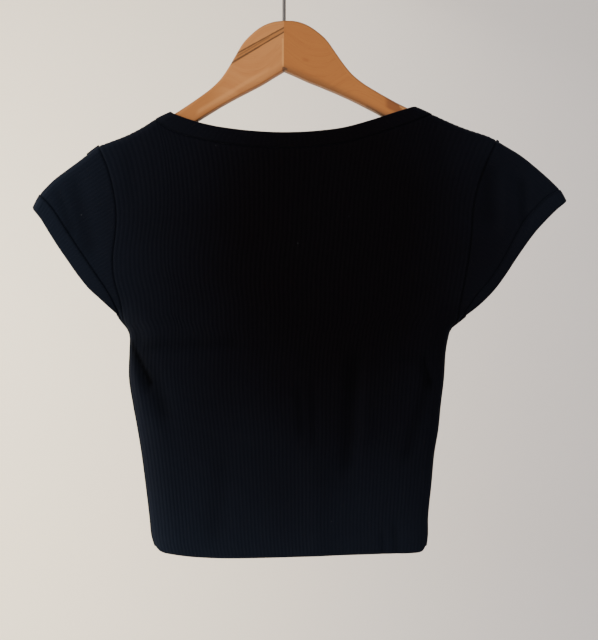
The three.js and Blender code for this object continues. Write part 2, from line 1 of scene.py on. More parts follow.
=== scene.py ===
# Black rib-knit crop top on a two-piece wooden hanger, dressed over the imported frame.
# Tables are in millimetres: x to the right, drop down from 67 mm under the origin. The front faces -Y.
import math
import bpy
import numpy as np
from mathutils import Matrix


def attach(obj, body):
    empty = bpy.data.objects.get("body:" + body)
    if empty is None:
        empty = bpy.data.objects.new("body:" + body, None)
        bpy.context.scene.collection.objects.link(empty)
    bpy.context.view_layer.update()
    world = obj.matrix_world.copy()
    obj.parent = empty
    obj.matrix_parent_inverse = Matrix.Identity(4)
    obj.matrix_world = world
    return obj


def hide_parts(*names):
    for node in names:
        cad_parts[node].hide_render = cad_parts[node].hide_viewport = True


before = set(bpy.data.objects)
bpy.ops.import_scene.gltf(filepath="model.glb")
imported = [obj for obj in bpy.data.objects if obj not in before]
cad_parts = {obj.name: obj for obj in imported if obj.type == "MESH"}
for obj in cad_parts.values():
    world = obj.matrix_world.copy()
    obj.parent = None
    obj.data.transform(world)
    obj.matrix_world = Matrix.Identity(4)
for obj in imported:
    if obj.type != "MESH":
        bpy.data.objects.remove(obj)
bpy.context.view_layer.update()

scene = bpy.context.scene
mm = 0.001
hookRise = 67.0  # from that level up to the origin, inside the hook's crest

# The outline of the flat-hung top
shoulderLeft = [(-125.1, 93.8), (-132, 98.4), (-141.6, 104.2), (-154.2, 110.4), (-169.8, 116.4), (-180.4, 120.2)]
shoulderRight = [(144, 89.2), (150.6, 92.4), (164.2, 98.5), (178.8, 104.2), (197.3, 110.3), (206.9, 115)]
sleeveTopLeft = [(-180.4, 120.2), (-188.2, 126), (-199.8, 135), (-211.5, 143.6), (-223.1, 152.4), (-231, 160),
                 (-237.7, 167.3)]
sleeveTopRight = [(206.9, 115), (217.7, 121.6), (227.5, 127.5), (236.3, 133.9), (248.9, 144.4), (259.4, 153.8),
                  (268.6, 163)]
sideDrops = [293, 298, 306, 322, 346, 372, 396, 420, 449, 480, 498, 509]
sideLeft = [-155.6, -151.8, -149.2, -149.6, -150, -146, -141.6, -137.7, -133.9, -130.2, -128.4, -125.2]
sideRight = [167, 161.6, 158.9, 156.2, 154.7, 151.6, 149.2, 145.2, 142.5, 139.3, 139.2, 137.8]
hemLine = [(-125.2, 509), (-118.4, 513.8), (-104, 516.4), (-83, 518.6), (-52, 519.6), (0, 518.6), (48, 516.8),
           (96, 515.2), (123, 514.6), (133.4, 513.4), (137.8, 509)]
armholeShares = [0, 0.12, 0.25, 0.38, 0.5, 0.62, 0.75, 0.87, 1]
armholeLeft = [-180.4, -171.3, -165.3, -162.2, -163, -165.4, -164, -158.4, -155.6]
armholeRight = [206.9, 197, 188.4, 183.4, 182, 179.6, 175.6, 171.6, 167]
cuffSeamLeft = [(-237.7, 167.3), (-226, 179.2), (-215.8, 194.2), (-206.6, 208.4), (-197.9, 221.6),
                (-188.7, 235.2), (-179, 249.4), (-171.6, 260.4), (-165.4, 272), (-159.2, 288.6)]
cuffEdgeLeft = [(-244.4, 180), (-235.4, 190.8), (-227, 204.2), (-218.3, 217.8), (-208.6, 231.8),
                (-198.9, 245.6), (-188.2, 258.8), (-177.4, 268.8), (-169, 277), (-161.8, 284.6)]
cuffSeamRight = [(268.6, 163), (255.4, 170.2), (243.5, 181.6), (232.2, 194.8), (223.6, 209.6),
                 (215.4, 225.6), (206.6, 240.6), (196.8, 254.4), (184.6, 268.6), (171.8, 289.4)]
cuffEdgeRight = [(274.5, 173.6), (264, 182), (253.2, 192.6), (242.5, 204.4), (232.8, 217.4),
                 (223.1, 231.4), (213.4, 246.2), (202.8, 260.4), (190.2, 273.4), (176.4, 285.6)]
neckEdge = [(-110.6, 86.8), (-106.4, 90.2), (-95.1, 94.6), (-83.4, 98.2), (-71.8, 101), (-60.1, 103.2),
            (-36.9, 106.2), (-10, 108), (14, 107.9), (36, 106.4), (58, 103.4), (80, 97.6), (102, 90.6),
            (120, 84.8), (128, 82)]
neckSeam = [(-125.1, 93.8), (-118.6, 100), (-109.6, 105.4), (-98, 109.8), (-83, 113.6), (-60, 118),
            (-36, 120.8), (-8, 122.3), (16, 122), (40, 120.2), (64, 116.2), (86, 110.2), (108, 103),
            (128, 96), (144, 89.2)]
depthDrops = [70, 155, 240, 320, 420, 520]  # half the distance between the outsides of front and back
depthHalves = [7.9, 8.1, 10.2, 10.8, 9.6, 8.8]

# Folds: from x, drop to x, drop, then width and lift; a trough is negative
frontFolds = [
    (-142, 308, -118, 372, 10, -1.7), (-148, 312, -129, 349, 2.0, -1.8), (-150, 318, -133, 353, 4.5, -1.2),
    (-122, 362, -110, 400, 8, -0.4), (-150, 330, -140, 372, 6, 0.9), (-126, 314, -52, 312, 6, -1.2),
    (-40, 311, 30, 317, 7, -0.5), (118, 325, 134, 326, 3.5, -1.0), (67, 338, 61, 424, 8, -1.8),
    (72, 328, 68, 352, 7, -0.8), (80, 340, 77, 400, 7, 0.8), (15, 360, 17, 398, 4.5, -0.8),
    (28, 356, 29, 404, 5, -0.8), (136, 331, 142, 352, 2.0, -1.3), (132, 334, 137, 352, 2.0, -0.8),
    (139, 352, 120, 416, 7, -1.3), (30, 440, 33, 506, 13, 1.4), (-60, 430, -66, 492, 11, -0.8),
    (95, 497, 96, 516, 3.5, -0.6), (107, 494, 109, 514, 4.5, -0.8), (199, 150, 200, 186, 9, -1.5),
    (231, 160, 232, 192, 5.5, -1.1), (214, 158, 214, 196, 6, 0.7), (-202, 160, -188, 214, 9, -1.2),
    (-218, 168, -206, 200, 5, -0.8), (-150, 128, -147, 160, 9, -0.6), (150, 118, 156, 152, 10, -0.6),
]
backFolds = [
    (-140, 312, -112, 380, 10, -1.4), (-146, 316, -127, 356, 3, -1.0), (144, 308, 112, 366, 10, -1.8),
    (150, 312, 132, 342, 4, -0.9), (-48, 350, -40, 436, 12, -1.4), (-30, 360, -27, 410, 6, 0.6),
    (22, 390, 18, 480, 12, 1.2), (60, 330, 110, 326, 8, -0.7), (-90, 470, -86, 512, 6, -0.5),
    (74, 480, 78, 514, 5, -0.5), (206, 150, 196, 200, 9, -1.2), (228, 164, 224, 190, 5, -0.6),
    (-196, 158, -186, 206, 9, -1.2), (-214, 172, -208, 196, 5, -0.5),
]

cloth = {
    "wall": 1.3,
    "rim": 0.45,  # how far a rounded rim stands out, as a share of the wall
    "panelRibs": 78,
    "sleeveRibs": 44,
    "perRib": 6,  # points across one rib
    "ribHeight": 0.24,
    "sleeveRibHeight": 0.17,
    "innerRib": 0.2,
    "seamWidth": 1.1,
    "seamDepth": 0.7,
    "seamShade": 0.5,
    "foldShade": 0.22,  # how much darker a trough is for each millimetre of its depth
    "sideRound": 26.0,
    "overArm": 7.9,
    "foldFade": 20.0,  # folds flatten out over this length under the shoulders
    "foldFadeSide": 9.0,
    "edgeFade": 2.5,
    "armpitShare": 0.565,
    "armholeLength": 174.0,
}


def smoothLine(points, per=24):
    # Catmull-Rom through the points, read by share of its length
    p = np.array(points, float)
    ends = np.vstack([p[:1], p, p[-1:]])
    before, start, end, after = (ends[k:k + len(p) - 1, None, :] for k in range(4))
    t = np.linspace(0, 1, per, endpoint=False)[None, :, None]
    slopeA = (end - before) / 2
    slopeB = (after - start) / 2
    dense = ((2 * start - 2 * end + slopeA + slopeB) * t**3 + (-3 * start + 3 * end - 2 * slopeA - slopeB) * t**2
             + slopeA * t + start)
    line = np.vstack([dense.reshape(-1, 2), p[-1:]])
    share = np.concatenate([[0], np.cumsum(np.hypot(*np.diff(line, axis=0).T))])
    share /= share[-1]
    return lambda s: np.stack([np.interp(s, share, line[:, k]) for k in (0, 1)], -1)


def nearest(outline, x, drop, towards):
    # distance to the closest stretch of a line, and the unit direction away from it;
    # on the line itself the direction is square to it, on the side given by "towards"
    best = np.full(x.shape, np.inf)
    awayX = np.zeros(x.shape)
    awayDrop = np.zeros(x.shape)
    for a, b in zip(outline[:-1], outline[1:]):
        length = math.hypot(*(b - a))
        if length < 1e-6:
            continue
        unit = (b - a) / length
        along = np.clip((x - a[0]) * unit[0] + (drop - a[1]) * unit[1], 0, length)
        offX = x - a[0] - unit[0] * along
        offDrop = drop - a[1] - unit[1] * along
        distance = np.hypot(offX, offDrop)
        closer = distance < best
        on = distance < 0.06
        safe = np.maximum(distance, 1e-9)
        awayX = np.where(closer, np.where(on, -unit[1] * towards, offX / safe), awayX)
        awayDrop = np.where(closer, np.where(on, unit[0] * towards, offDrop / safe), awayDrop)
        best = np.where(closer, np.where(on, 0, distance), best)
    return best, awayX, awayDrop


def roundOff(t):
    # quarter ellipse: 0 on the outline, 1 one rounding width inside it
    return np.sqrt(1 - (1 - np.clip(t, 0, 1)) ** 2)


def roundSlope(t):
    held = np.clip(t, 1e-5, 1)
    return (1 - held) / np.sqrt(1 - (1 - held) ** 2)


def makeSide(name, shoulder, sleeveTop, sideX, armX, cuffSeam, cuffEdge, outward):
    levels = shoulder[-1][1] + (sideDrops[0] - shoulder[-1][1]) * np.array(armholeShares)
    armSpline = smoothLine(np.stack([armX, levels], -1))
    side = {
        "name": name,
        "outward": outward,
        "shoulder": smoothLine(shoulder),
        "sleeveTop": smoothLine(sleeveTop),
        "seam": smoothLine(np.stack([sideX, sideDrops], -1)),
        "armhole": lambda v: armSpline(1 - v),
        "cuffSeam": smoothLine(cuffSeam),
        "cuffEdge": smoothLine(cuffEdge),
    }
    share = np.linspace(0, 1, 41)
    tip = neckEdge[0] if outward < 0 else neckEdge[-1]
    side["topOutline"] = np.vstack([[tip], side["shoulder"](share), side["sleeveTop"](share),
                                    side["cuffEdge"](np.array([0.0]))])
    side["sideOutline"] = np.vstack([side["cuffEdge"](np.array([1.0])), side["cuffSeam"](np.array([1.0])),
                                     side["seam"](share)])
    return side


left = makeSide("left", shoulderLeft, sleeveTopLeft, sideLeft, armholeLeft, cuffSeamLeft, cuffEdgeLeft, -1)
right = makeSide("right", shoulderRight, sleeveTopRight, sideRight, armholeRight, cuffSeamRight,
                 cuffEdgeRight, 1)
hem = smoothLine(hemLine)
neckSeamLine = smoothLine(neckSeam)
neckEdgeLine = smoothLine(neckEdge)


def foldLift(folds, x, drop):
    # sum of bells across each fold's line, each fading past both ends;
    # the second sum is the painted shade of the troughs, where a narrow one counts for more
    lift = np.zeros(x.shape)
    dark = np.zeros(x.shape)
    for x0, drop0, x1, drop1, width, height in folds:
        length = math.hypot(x1 - x0, drop1 - drop0)
        ux, ud = (x1 - x0) / length, (drop1 - drop0) / length
        along = (x - x0) * ux + (drop - drop0) * ud
        across = (x - x0) * ud - (drop - drop0) * ux
        past = np.maximum(0, np.maximum(-along, along - length))
        bell = np.exp(-((across / width) ** 2) - (past / (1.6 * width)) ** 2)
        lift += height * bell
        dark += max(0, -height) * (0.6 + 4 / width) * bell
    return lift, dark


def besideSeam(lines, x, drop):
    # 1 on a seam's line, falling off either side as a bell of the distance to it
    close = np.zeros(x.shape)
    for line in lines:
        near = (x > line[:, 0].min() - 8) & (x < line[:, 0].max() + 8) & (drop < line[:, 1].max() + 8)
        if near.any():
            distance = nearest(line, x[near], drop[near], 1)[0]
            close[near] = np.maximum(close[near], np.exp(-((distance / cloth["seamWidth"]) ** 2)))
    return close


def clothPoints(plan, face, halfGap, proud, lines=()):
    # a point of the cloth: x and drop from the plan, y from the quarter-ellipse rounding at the outline
    # plus the folds, then moved out along the surface by "proud", less a groove at each seam;
    # the second array is the painted shade of the seams and fold troughs, from 0 to 1
    x, drop = plan[..., 0], plan[..., 1]
    result = np.zeros(plan.shape[:-1] + (3,))
    shade = np.zeros(x.shape)
    for side, mask in ((left, x < 0), (right, x >= 0)):
        if not mask.any():
            continue
        px, pd = x[mask], drop[mask]
        sideD, sideX, sideDrop = nearest(side["sideOutline"], px, pd, -side["outward"])
        topD, topX, topDrop = nearest(side["topOutline"], px, pd, side["outward"])
        base = np.interp(pd, depthDrops, depthHalves)
        sideT = sideD / cloth["sideRound"]
        topT = topD / cloth["overArm"]
        sideSlope = base * roundSlope(sideT) * roundOff(topT) / cloth["sideRound"]
        topSlope = base * roundSlope(topT) * roundOff(sideT) / cloth["overArm"]
        out = np.stack([-(sideSlope * sideX + topSlope * topX), np.ones(px.shape),
                        sideSlope * sideDrop + topSlope * topDrop], -1)
        out /= np.linalg.norm(out, axis=-1, keepdims=True)
        free = np.minimum(1, sideD / cloth["foldFadeSide"]) * np.minimum(1, topD / cloth["foldFade"])
        lift, dark = foldLift(frontFolds if face < 0 else backFolds, px, pd)
        lift *= free
        dark *= np.minimum(1, sideD / cloth["edgeFade"]) * np.minimum(1, topD / cloth["foldFade"])
        half = base * roundOff(sideT) * roundOff(topT)
        seams = besideSeam(lines, px, pd)
        high = (proud[mask] if np.ndim(proud) else proud) - cloth["seamDepth"] * seams
        shade[mask] = np.clip(cloth["seamShade"] * seams + cloth["foldShade"] * dark, 0, 1)
        result[mask] = np.stack([
            px + out[:, 0] * high,
            face * (halfGap + half + lift + out[:, 1] * high),
            -(hookRise + pd) + out[:, 2] * high,
        ], -1)
    return result * mm, shade


def coons(bottom, top, start, end, s, v):
    # blend of four border lines that meet at the corners, over a grid of shares
    s2, v2 = s[None, :, None], v[:, None, None]
    grid = (bottom(s)[None] * (1 - v2) + top(s)[None] * v2
            + start(v)[:, None] * (1 - s2) + end(v)[:, None] * s2)
    corners = [np.array([0.0]), np.array([1.0])]
    b0, b1, t0, t1 = bottom(corners[0]), bottom(corners[1]), top(corners[0]), top(corners[1])
    return grid - (b0 * (1 - s2) * (1 - v2) + b1 * s2 * (1 - v2) + t0 * (1 - s2) * v2 + t1 * s2 * v2)


def ribProfile(phase):
    # 0 in the valley and 1 on the crest, with a wide round crest and a narrow valley
    return 1 - np.abs(np.cos(np.pi * phase)) ** 3


def makeObject(name, points, quads, triangles, uv, shade, material):
    mesh = bpy.data.meshes.new(name)
    flat = points.reshape(-1, 3)
    a, b, c = (flat[quads[:, k]] for k in range(3))
    d = flat[quads[:, 3]]
    volume = np.einsum("ij,ij->", a, np.cross(b, c)) + np.einsum("ij,ij->", a, np.cross(c, d))
    if volume < 0:  # faces point outwards
        quads, triangles = quads[:, ::-1], triangles[:, ::-1]
    faces = quads.tolist() + triangles.tolist()
    mesh.from_pydata(flat.tolist(), [], faces)
    mesh.polygons.foreach_set("use_smooth", np.ones(len(faces), bool))
    layer = mesh.uv_layers.new(name="UVMap")
    at = np.zeros(len(mesh.loops), np.int32)
    mesh.loops.foreach_get("vertex_index", at)
    layer.data.foreach_set("uv", uv.reshape(-1, 2)[at].ravel().astype(np.float32))
    paintedShade = mesh.attributes.new("shade", "FLOAT", "POINT")
    paintedShade.data.foreach_set("value", shade.ravel().astype(np.float32))
    mesh.materials.append(material)
    mesh.update()
    piece = bpy.data.objects.new(name, mesh)
    scene.collection.objects.link(piece)
    return piece


def clothShell(name, outer, inner, shade, u, v, closed, material):
    # a wall from an outer and an inner grid, with a rounded rim at its first and last rows;
    # all rows form one loop: outer, rim, inner turned round, rim
    rows, columns = outer.shape[:2]
    middle = (outer + inner) / 2

    def rim(edge, beside):
        away = edge - beside
        away /= np.maximum(np.linalg.norm(away, axis=-1, keepdims=True), 1e-9)
        return edge + away * cloth["rim"] * cloth["wall"] * mm

    loop = np.concatenate([outer, rim(middle[-1], middle[-2])[None], inner[::-1],
                           rim(middle[0], middle[1])[None]])
    rings = len(loop)
    ids = np.arange(rings * columns).reshape(rings, columns)
    after = np.roll(ids, -1, axis=0)
    if closed:
        side, nextSide = np.roll(ids, -1, axis=1), np.roll(after, -1, axis=1)
        quads = np.stack([ids, side, nextSide, after], -1).reshape(-1, 4)
        triangles = np.zeros((0, 3), int)
    else:
        quads = np.stack([ids[:, :-1], ids[:, 1:], after[:, 1:], after[:, :-1]], -1).reshape(-1, 4)
        out, back = ids[:rows], ids[rows + 1:2 * rows + 1][::-1]
        caps, triangles = [], []
        for i, flip in ((0, False), (columns - 1, True)):
            cap = np.stack([out[:-1, i], out[1:, i], back[1:, i], back[:-1, i]], -1)
            corner = np.array([[out[-1, i], ids[rows, i], back[-1, i]], [back[0, i], ids[-1, i], out[0, i]]])
            caps.append(cap[:, ::-1] if flip else cap)
            triangles.append(corner[:, ::-1] if flip else corner)
        quads = np.concatenate([quads, *caps])
        triangles = np.concatenate(triangles)
    across = np.broadcast_to(u[None, :], (rows, columns))
    along = v if v.ndim == 2 else np.broadcast_to(v[:, None], (rows, columns))
    flat = np.stack([across, along], -1)
    uv = np.concatenate([flat, flat[-1:], flat[::-1], flat[:1]])
    dark = np.concatenate([shade, shade[-1:], np.zeros(shade.shape), shade[:1]])
    return makeObject(name, loop, quads, triangles, uv, dark, material)


def lengthDown(points):
    # distance along each column in millimetres, from the first row
    step = np.linalg.norm(np.diff(points, axis=0), axis=-1)
    return np.concatenate([np.zeros((1, points.shape[1])), np.cumsum(step, axis=0)]) / mm


def areaOf(points):
    # area of a grid of points, from the two triangles of each cell
    a, b, c, d = points[:-1, :-1], points[1:, :-1], points[1:, 1:], points[:-1, 1:]
    return float((np.linalg.norm(np.cross(b - a, c - a), axis=-1)
                  + np.linalg.norm(np.cross(c - a, d - a), axis=-1)).sum() / 2)


def addNode(tree, kind, **values):
    # each value is one of the node's own settings, or else goes to the socket of that name
    node = tree.nodes.new(kind)
    for key, value in values.items():
        if hasattr(node, key):
            setattr(node, key, value)
        else:
            node.inputs[key.replace("_", " ")].default_value = value
    return node


def maths(tree, operation, a, b=None, c=None, clamp=False):
    node = tree.nodes.new("ShaderNodeMath")
    node.operation = operation
    node.use_clamp = clamp
    for socket, value in zip(node.inputs, (a, b, c)):
        if value is None:
            continue
        if isinstance(value, (int, float)):
            socket.default_value = value
        else:
            tree.links.new(value, socket)
    return node.outputs[0]


def newGroup(name, inputs, outputs):
    group = bpy.data.node_groups.new(name, "ShaderNodeTree")
    for label, kind, value in inputs:
        socket = group.interface.new_socket(label, in_out="INPUT", socket_type=kind)
        if value is not None:
            socket.default_value = value
    for label, kind in outputs:
        group.interface.new_socket(label, in_out="OUTPUT", socket_type=kind)
    return group, group.nodes.new("NodeGroupInput"), group.nodes.new("NodeGroupOutput")


def useGroup(tree, group, **values):
    node = tree.nodes.new("ShaderNodeGroup")
    node.node_tree = group
    for key, value in values.items():
        socket = node.inputs[key.replace("_", " ")]
        if isinstance(value, bpy.types.NodeSocket):
            tree.links.new(value, socket)
        else:
            socket.default_value = value
    return node


def mixColour(tree, factor, a, b):
    node = tree.nodes.new("ShaderNodeMix")
    node.data_type = "RGBA"
    for socket, value in ((node.inputs[0], factor), (node.inputs[6], a), (node.inputs[7], b)):
        if isinstance(value, bpy.types.NodeSocket):
            tree.links.new(value, socket)
        else:
            socket.default_value = value if isinstance(value, (int, float)) else (*value[:3], 1)
    return node.outputs[2]


def ramp(tree, value, low, high, kind="SMOOTHSTEP"):
    node = tree.nodes.new("ShaderNodeMapRange")
    node.interpolation_type = kind
    tree.links.new(value, node.inputs["Value"])
    node.inputs["From Min"].default_value = low
    node.inputs["From Max"].default_value = high
    return node.outputs[0]


def objectPlace(tree):
    return tree.nodes.new("ShaderNodeTexCoord").outputs["Object"]


def mapped(tree, vector, scale, location=(0, 0, 0)):
    node = addNode(tree, "ShaderNodeMapping", Location=location, Scale=scale)
    tree.links.new(vector, node.inputs["Vector"])
    return node.outputs[0]


def noiseAt(tree, vector, scale, detail=3.0, roughness=0.55):
    node = tree.nodes.new("ShaderNodeTexNoise")
    tree.links.new(vector, node.inputs["Vector"])
    node.inputs["Scale"].default_value = scale
    node.inputs["Detail"].default_value = detail
    node.inputs["Roughness"].default_value = roughness
    return node.outputs["Fac"]


def buildStitchGroup():
    # columns of V stitches: the row's phase runs ahead with the distance from the middle of its column
    group, given, result = newGroup("ribStitches", [
        ("Pattern", "NodeSocketVector", None),
        ("Columns per rib", "NodeSocketFloat", 4.0),
        ("Stitch length", "NodeSocketFloat", 1.15),
    ], [("Height", "NodeSocketFloat"), ("Shade", "NodeSocketFloat")])
    split = group.nodes.new("ShaderNodeSeparateXYZ")
    group.links.new(given.outputs["Pattern"], split.inputs[0])
    column = maths(group, "MULTIPLY", split.outputs[0], given.outputs["Columns per rib"])
    fromMiddle = maths(group, "ABSOLUTE", maths(group, "SUBTRACT", maths(group, "FRACT", column), 0.5))
    row = maths(group, "DIVIDE", split.outputs[1], given.outputs["Stitch length"])
    phase = maths(group, "FRACT", maths(group, "ADD", row, maths(group, "MULTIPLY", fromMiddle, 1.3)))
    bead = maths(group, "SINE", maths(group, "MULTIPLY", phase, math.pi))
    edge = maths(group, "SUBTRACT", 1.0, maths(group, "POWER", maths(group, "MULTIPLY", fromMiddle, 2.0), 3.0))
    stitch = maths(group, "MULTIPLY", maths(group, "POWER", bead, 0.7), edge)
    group.links.new(stitch, result.inputs["Height"])
    # painted shade: darker in the rib's valleys and between the stitches
    rib = maths(group, "FRACT", split.outputs[0])
    valley = maths(group, "ABSOLUTE", maths(group, "SUBTRACT", rib, 0.5))
    shade = maths(group, "MULTIPLY", ramp(group, valley, 0.5, 0.3), maths(group, "MULTIPLY_ADD", stitch, 0.45, 0.55))
    group.links.new(shade, result.inputs["Shade"])
    return group


lint = {"scale": 62.0, "reach": 0.045, "core": 0.02, "above": 0.82, "strength": 0.55}


def buildFuzzGroup():
    # loose fibres: fine noise for the nap, sparse pale specks of lint and a slow change of tone
    group, given, result = newGroup("clothFuzz", [
        ("Position", "NodeSocketVector", None),
        ("Nap scale", "NodeSocketFloat", 2600.0),
    ], [("Nap", "NodeSocketFloat"), ("Lint", "NodeSocketFloat"), ("Tone", "NodeSocketFloat")])
    nap = noiseAt(group, given.outputs["Position"], 1, 4)
    group.links.new(given.outputs["Nap scale"], nap.node.inputs["Scale"])
    group.links.new(nap, result.inputs["Nap"])
    specks = group.nodes.new("ShaderNodeTexVoronoi")
    specks.inputs["Scale"].default_value = lint["scale"]
    group.links.new(given.outputs["Position"], specks.inputs["Vector"])
    split = group.nodes.new("ShaderNodeSeparateColor")
    group.links.new(specks.outputs["Color"], split.inputs[0])
    small = ramp(group, specks.outputs["Distance"], lint["reach"], lint["core"])
    chosen = maths(group, "GREATER_THAN", split.outputs[0], lint["above"])
    group.links.new(maths(group, "MULTIPLY", small, chosen), result.inputs["Lint"])
    group.links.new(noiseAt(group, given.outputs["Position"], 9, 2), result.inputs["Tone"])
    return group


def buildGrainGroup():
    # wood grain: noise drawn out along the piece, thin pores, and slow bands of darker growth
    group, given, result = newGroup("woodGrain", [
        ("Along and across", "NodeSocketVector", None),
        ("Seed", "NodeSocketFloat", 0.0),
    ], [("Bands", "NodeSocketFloat"), ("Fine", "NodeSocketFloat"), ("Pores", "NodeSocketFloat")])
    offset = group.nodes.new("ShaderNodeCombineXYZ")
    group.links.new(given.outputs["Seed"], offset.inputs[2])
    for label, stretch, scale, detail in (("Bands", (7, 130, 1), 1, 3), ("Fine", (30, 900, 1), 1, 4),
                                          ("Pores", (160, 2600, 1), 1, 2)):
        place = mapped(group, given.outputs["Along and across"], stretch)
        group.links.new(offset.outputs[0], place.node.inputs["Location"])
        group.links.new(noiseAt(group, place, scale, detail), result.inputs[label])
    return group


stitches = buildStitchGroup()
fuzz = buildFuzzGroup()
grain = buildGrainGroup()


def startMaterial(name):
    material = bpy.data.materials.new(name)
    material.use_nodes = True
    tree = material.node_tree
    shader = next(node for node in tree.nodes if node.type == "BSDF_PRINCIPLED")
    return material, tree, shader


def knitMaterial(name, look):
    material, tree, shader = startMaterial(name)
    uv = addNode(tree, "ShaderNodeUVMap", uv_map="UVMap")
    place = objectPlace(tree)
    knit = useGroup(tree, stitches, Pattern=uv.outputs[0], Columns_per_rib=look["columnsPerRib"],
                    Stitch_length=look["stitch"])
    nap = useGroup(tree, fuzz, Position=place)
    # painted sheen: paler towards the hem, the sides and the sleeves, by distance from the upper chest
    (darkX, darkZ), (reachX, reachZ) = look["darkAt"], look["fadeReach"]
    fromDark = mapped(tree, place, (1 / reachX, 0, 1 / reachZ), (-darkX / reachX, 0, -darkZ / reachZ))
    far = addNode(tree, "ShaderNodeVectorMath", operation="LENGTH")
    tree.links.new(fromDark, far.inputs[0])
    faded = maths(tree, "MULTIPLY_ADD", nap.outputs["Tone"], 0.2, maths(tree, "SUBTRACT", far.outputs["Value"], 0.1))
    faded = maths(tree, "POWER", ramp(tree, faded, 0.25, 1.05, "LINEAR"), 1.6)
    toned = mixColour(tree, faded, look["black"], look["paintedSheen"])
    # painted shade: darker in the rib's valleys, and in seams and folds
    paintedShade = addNode(tree, "ShaderNodeAttribute", attribute_name="shade")
    valley = maths(tree, "MULTIPLY_ADD", knit.outputs["Shade"], -look["valley"], look["valley"])
    dark = maths(tree, "MAXIMUM", valley, maths(tree, "MULTIPLY", paintedShade.outputs["Fac"], look["paintedShade"]))
    toned = mixColour(tree, dark, toned, look["depth"])
    colour = mixColour(tree, maths(tree, "MULTIPLY", nap.outputs["Lint"], lint["strength"]), toned, look["lint"])
    tree.links.new(colour, shader.inputs["Base Color"])
    tree.links.new(maths(tree, "MULTIPLY_ADD", nap.outputs["Nap"], 0.12, look["roughness"]),
                   shader.inputs["Roughness"])
    shader.inputs["Specular IOR Level"].default_value = look["specular"]
    shader.inputs["Sheen Weight"].default_value = look["sheen"]
    shader.inputs["Sheen Roughness"].default_value = look["sheenRoughness"]
    shader.inputs["Sheen Tint"].default_value = (*look["sheenTint"], 1)
    relief = maths(tree, "MULTIPLY_ADD", nap.outputs["Nap"], 0.3, knit.outputs["Height"])
    bump = addNode(tree, "ShaderNodeBump", Strength=look["bump"], Distance=0.00022)
    tree.links.new(relief, bump.inputs["Height"])
    tree.links.new(bump.outputs[0], shader.inputs["Normal"])
    return material


def strokeMask(tree, place, x0, z0, x1, z1, start, end, rim):
    # a slanting stroke: 1 inside its half width, which changes along it, softened at its rim and both ends
    along = maths(tree, "SUBTRACT", place[0], x0 * mm)
    line = maths(tree, "MULTIPLY_ADD", along, (z1 - z0) / (x1 - x0), z0 * mm)
    share = maths(tree, "DIVIDE", along, (x1 - x0) * mm)
    half = maths(tree, "MULTIPLY_ADD", share, (end - start) * mm, start * mm)
    off = maths(tree, "SUBTRACT", maths(tree, "ABSOLUTE", maths(tree, "SUBTRACT", place[1], line)), half)
    soft = rim / math.hypot(x1 - x0, z1 - z0)
    ends = maths(tree, "MULTIPLY", ramp(tree, share, -soft, soft), ramp(tree, share, 1 + soft, 1 - soft))
    return maths(tree, "MULTIPLY", ramp(tree, off, rim * mm, 0.0), ends)


def woodMaterial(name, look):
    material, tree, shader = startMaterial(name)
    uv = addNode(tree, "ShaderNodeUVMap", uv_map="UVMap")
    lines = useGroup(tree, grain, Along_and_across=uv.outputs[0], Seed=look["seed"])
    base = mixColour(tree, ramp(tree, lines.outputs["Bands"], 0.36, 0.68), look["pale"], look["deep"])
    fine = mixColour(tree, maths(tree, "MULTIPLY", ramp(tree, lines.outputs["Fine"], 0.5, 0.72), 0.4), base,
                     look["line"])
    pores = mixColour(tree, maths(tree, "MULTIPLY", ramp(tree, lines.outputs["Pores"], 0.6, 0.75), 0.35), fine,
                      look["pore"])
    split = tree.nodes.new("ShaderNodeSeparateXYZ")
    tree.links.new(objectPlace(tree), split.inputs[0])
    wobble = maths(tree, "MULTIPLY_ADD", lines.outputs["Fine"], 0.0012, -0.0006)
    place = (split.outputs[0], maths(tree, "ADD", split.outputs[2], wobble))
    colour = pores
    for *shape, depth, tint in look["strokes"]:
        mask = maths(tree, "MULTIPLY", strokeMask(tree, place, *shape), depth)
        colour = mixColour(tree, mask, colour, tint)
    # painted shade along the lower edge and in a line over the crown, from the shade attribute
    edge = addNode(tree, "ShaderNodeAttribute", attribute_name="shade")
    colour = mixColour(tree, edge.outputs["Fac"], colour, look["under"])
    tree.links.new(colour, shader.inputs["Base Color"])
    tree.links.new(maths(tree, "MULTIPLY_ADD", lines.outputs["Fine"], 0.16, look["roughness"]),
                   shader.inputs["Roughness"])
    shader.inputs["Coat Weight"].default_value = look["coat"]
    shader.inputs["Coat Roughness"].default_value = 0.25
    shader.inputs["Specular IOR Level"].default_value = look["specular"]
    bump = addNode(tree, "ShaderNodeBump", Strength=0.25, Distance=0.00015)
    tree.links.new(maths(tree, "ADD", lines.outputs["Fine"], lines.outputs["Pores"]), bump.inputs["Height"])
    tree.links.new(bump.outputs[0], shader.inputs["Normal"])
    return material


def steelMaterial(name, look):
    material, tree, shader = startMaterial(name)
    place = objectPlace(tree)
    mottle = noiseAt(tree, place, look["mottle"], 3)
    scratch = noiseAt(tree, mapped(tree, place, look["drawn"]), 1, 2)
    tree.links.new(mixColour(tree, mottle, look["dark"], look["light"]), shader.inputs["Base Color"])
    tree.links.new(maths(tree, "MULTIPLY_ADD", scratch, 0.2, look["roughness"]), shader.inputs["Roughness"])
    shader.inputs["Metallic"].default_value = 1.0
    return material


knitLook = {
    "columnsPerRib": 4.0, "stitch": 1.15, "bump": 0.6,
    "black": (0.0013, 0.0007, 0.0011), "paintedSheen": (0.0061, 0.0082, 0.0137), "depth": (0.0004, 0.0004, 0.0006),
    "valley": 0.10, "paintedShade": 0.9, "darkAt": (0.045, -0.275), "fadeReach": (0.27, 0.36),
    "lint": (0.06, 0.06, 0.065), "roughness": 0.86, "specular": 0.04,
    "sheen": 0.03, "sheenRoughness": 0.42, "sheenTint": (0.5, 0.62, 1.0),
}
bandLook = dict(knitLook, paintedSheen=(0.0066, 0.0090, 0.0150), bump=0.5)
darkLine = (0.10, 0.038, 0.008)
